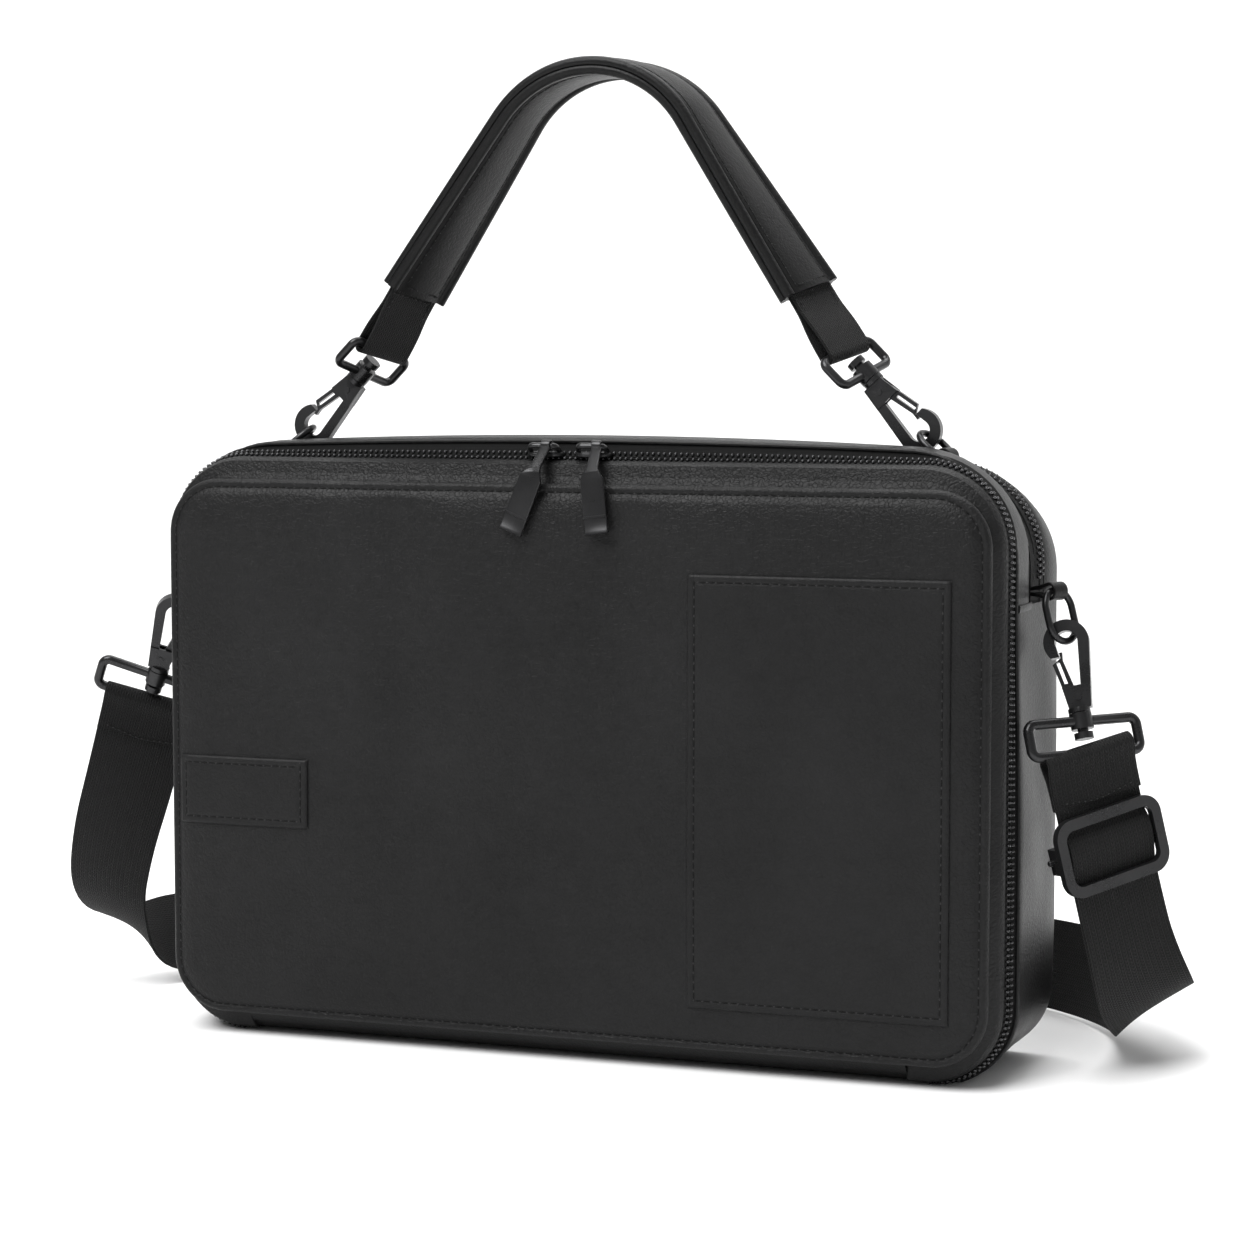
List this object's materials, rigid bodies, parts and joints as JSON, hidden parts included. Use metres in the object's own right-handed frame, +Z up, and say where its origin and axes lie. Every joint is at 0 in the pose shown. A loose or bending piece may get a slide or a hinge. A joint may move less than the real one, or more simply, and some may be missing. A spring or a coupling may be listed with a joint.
{
  "type": "shoulder bag",
  "caption": "Zip-around black leather-look bag with a front cover hinged at its base, padded top handle on snap hooks and webbing shoulder strap.",
  "frame": {"origin": "on the floor under the middle of the case", "axes": "+Z up, -Y out of the front cover, +X to the right of someone facing the cover"},
  "size_m": [0.4909, 0.2071, 0.392],
  "materials": {
    "black_leather": "pebbled black artificial leather",
    "zip_tape": "woven black tape with black teeth",
    "webbing": "coarse black webbing",
    "lining": "plain dark grey lining",
    "stiffener": "flat stiffener board",
    "black_metal": "satin black plated metal"
  },
  "bodies": {
    "case": {"back_panel": "black_leather", "base_board": "stiffener", "case_lining": "lining", "divider": "lining", "front_zip_case_side": "zip_tape", "hinge_strip": "black_leather", "lower_gusset": "black_leather", "main_gusset": "black_leather", "piping_case": "black_leather", "rear_board": "stiffener", "rear_gusset": "black_leather", "rear_zip_front_side": "zip_tape", "rear_zip_rear_side": "zip_tape", "shoulder_strap": "webbing", "side_tab_left": "black_leather", "side_tab_right": "black_leather", "step_band": "black_leather", "step_web": "black_leather", "strap_end_left": "webbing", "strap_end_right": "webbing", "strap_loop_left": "black_metal", "strap_loop_right": "black_metal", "top_tab_left": "black_leather", "top_tab_right": "black_leather"},
    "cover": {"cover_panel": "black_leather", "cover_edge": "black_leather", "cover_board": "stiffener", "cover_lining": "lining", "cover_gusset": "black_leather", "cover_zip_side": "zip_tape", "patch_panel": "black_leather", "side_patch": "black_leather"},
    "handle": {"handle_outer": "black_leather", "handle_inner": "black_leather", "handle_webbing_left": "webbing", "handle_webbing_right": "webbing", "handle_loop_left": "black_metal", "handle_loop_right": "black_metal"},
    "adjuster": {"adjuster_frame": "black_metal", "adjuster_bar": "black_metal"},
    "front_slider_left": {"front_slider_left": "black_metal"},
    "front_slider_right": {"front_slider_right": "black_metal"},
    "front_pull_left": {"front_pull_left": "black_metal"},
    "front_pull_right": {"front_pull_right": "black_metal"},
    "rear_slider": {"rear_slider": "black_metal"},
    "rear_pull": {"rear_pull": "black_metal"},
    "top_ring_left": {"top_ring_left": "black_metal"},
    "top_ring_right": {"top_ring_right": "black_metal"},
    "side_ring_left": {"side_ring_left": "black_metal"},
    "side_ring_right": {"side_ring_right": "black_metal"},
    "handle_hook_left": {"handle_hook_left": "black_metal"},
    "handle_hook_right": {"handle_hook_right": "black_metal"},
    "handle_gate_left": {"handle_gate_left": "black_metal"},
    "handle_gate_right": {"handle_gate_right": "black_metal"},
    "strap_hook_left": {"strap_hook_left": "black_metal"},
    "strap_hook_right": {"strap_hook_right": "black_metal"},
    "strap_gate_left": {"strap_gate_left": "black_metal"},
    "strap_gate_right": {"strap_gate_right": "black_metal"}
  },
  "joints": [
    {"name": "cover_hinge", "type": "hinge", "parent": "case", "child": "cover", "pos_m": [0, -0.0435, 0.006], "axis": [1, 0, 0], "range_deg": [0, 85]},
    {"name": "front_zip_left", "type": "slide", "parent": "cover", "child": "front_slider_left", "axis": [-1, 0, 0], "range_m": [0, 0.098]},
    {"name": "front_zip_right", "type": "slide", "parent": "cover", "child": "front_slider_right", "axis": [1, 0, 0], "range_m": [0, 0.1]},
    {"name": "rear_zip", "type": "slide", "parent": "case", "child": "rear_slider", "axis": [1, 0, 0], "range_m": [0, 0.16]},
    {"name": "front_pull_left_lift", "type": "hinge", "parent": "front_slider_left", "child": "front_pull_left", "pos_m": [-0.0095, -0.031, 0.24], "axis": [-1, 0, 0], "range_deg": [0, 90]},
    {"name": "front_pull_right_lift", "type": "hinge", "parent": "front_slider_right", "child": "front_pull_right", "pos_m": [0.0114, -0.031, 0.24], "axis": [-1, 0, 0], "range_deg": [0, 90]},
    {"name": "rear_pull_lift", "type": "hinge", "parent": "rear_slider", "child": "rear_pull", "pos_m": [-0.08, 0.0195, 0.237], "axis": [1, 0, 0], "range_deg": [0, 90]},
    {"name": "handle_swing", "type": "hinge", "parent": "case", "child": "handle", "pos_m": [0, 0.01, 0.24498], "axis": [1, 0, 0], "range_deg": [-20, 6]},
    {"name": "top_ring_left_tilt", "type": "hinge", "parent": "case", "child": "top_ring_left", "pos_m": [-0.1405, 0.007, 0.2361], "axis": [-0.2756, 0.9613, 0], "range_deg": [-1, 1]},
    {"name": "handle_hook_left_swivel", "type": "hinge", "parent": "handle", "child": "handle_hook_left", "pos_m": [-0.10733, 0.01, 0.26761], "axis": [-0.7071, 0, -0.7071], "range_deg": [-4, 4]},
    {"name": "handle_gate_left_press", "type": "hinge", "parent": "handle_hook_left", "child": "handle_gate_left", "pos_m": [-0.11306, 0.01, 0.26061], "axis": [0, -1, 0], "range_deg": [0, 16], "stiffness_Nm_per_rad": 0.02, "springref_deg": -8.59},
    {"name": "side_ring_left_tilt", "type": "hinge", "parent": "case", "child": "side_ring_left", "pos_m": [-0.184, 0.003, 0.186], "axis": [-0.5, 0.866, 0], "range_deg": [-1, 1]},
    {"name": "strap_hook_left_swivel", "type": "hinge", "parent": "case", "child": "strap_hook_left", "pos_m": [-0.20209, 0.00605, 0.1398], "axis": [0.4155, -0.1953, 0.8884], "range_deg": [-5, 5]},
    {"name": "strap_gate_left_press", "type": "hinge", "parent": "strap_hook_left", "child": "strap_gate_left", "pos_m": [-0.1991, 0.00386, 0.14805], "axis": [0.369, -0.8565, -0.3609], "range_deg": [0, 16], "stiffness_Nm_per_rad": 0.02, "springref_deg": -8.59},
    {"name": "top_ring_right_tilt", "type": "hinge", "parent": "case", "child": "top_ring_right", "pos_m": [0.1405, 0.007, 0.2361], "axis": [0.2756, 0.9613, 0], "range_deg": [-1, 1]},
    {"name": "handle_hook_right_swivel", "type": "hinge", "parent": "handle", "child": "handle_hook_right", "pos_m": [0.10733, 0.01, 0.26761], "axis": [0.7071, 0, -0.7071], "range_deg": [-4, 4]},
    {"name": "handle_gate_right_press", "type": "hinge", "parent": "handle_hook_right", "child": "handle_gate_right", "pos_m": [0.11306, 0.01, 0.26061], "axis": [0, 1, 0], "range_deg": [0, 16], "stiffness_Nm_per_rad": 0.02, "springref_deg": -8.59},
    {"name": "side_ring_right_tilt", "type": "hinge", "parent": "case", "child": "side_ring_right", "pos_m": [0.184, 0.003, 0.186], "axis": [0.5, 0.866, 0], "range_deg": [0, 1.2]},
    {"name": "strap_hook_right_swivel", "type": "hinge", "parent": "case", "child": "strap_hook_right", "pos_m": [0.1968, -0.00682, 0.13806], "axis": [-0.2448, 0.2198, 0.9443], "range_deg": [-5, 3]},
    {"name": "strap_gate_right_press", "type": "hinge", "parent": "strap_hook_right", "child": "strap_gate_right", "pos_m": [0.19547, -0.00471, 0.14676], "axis": [-0.0906, 0.9645, -0.2479], "range_deg": [0, 16], "stiffness_Nm_per_rad": 0.02, "springref_deg": -8.59},
    {"name": "adjuster_slide", "type": "slide", "parent": "case", "child": "adjuster", "axis": [0.1988, 0.1221, -0.9724], "range_m": [0, 0.012]}
  ]
}
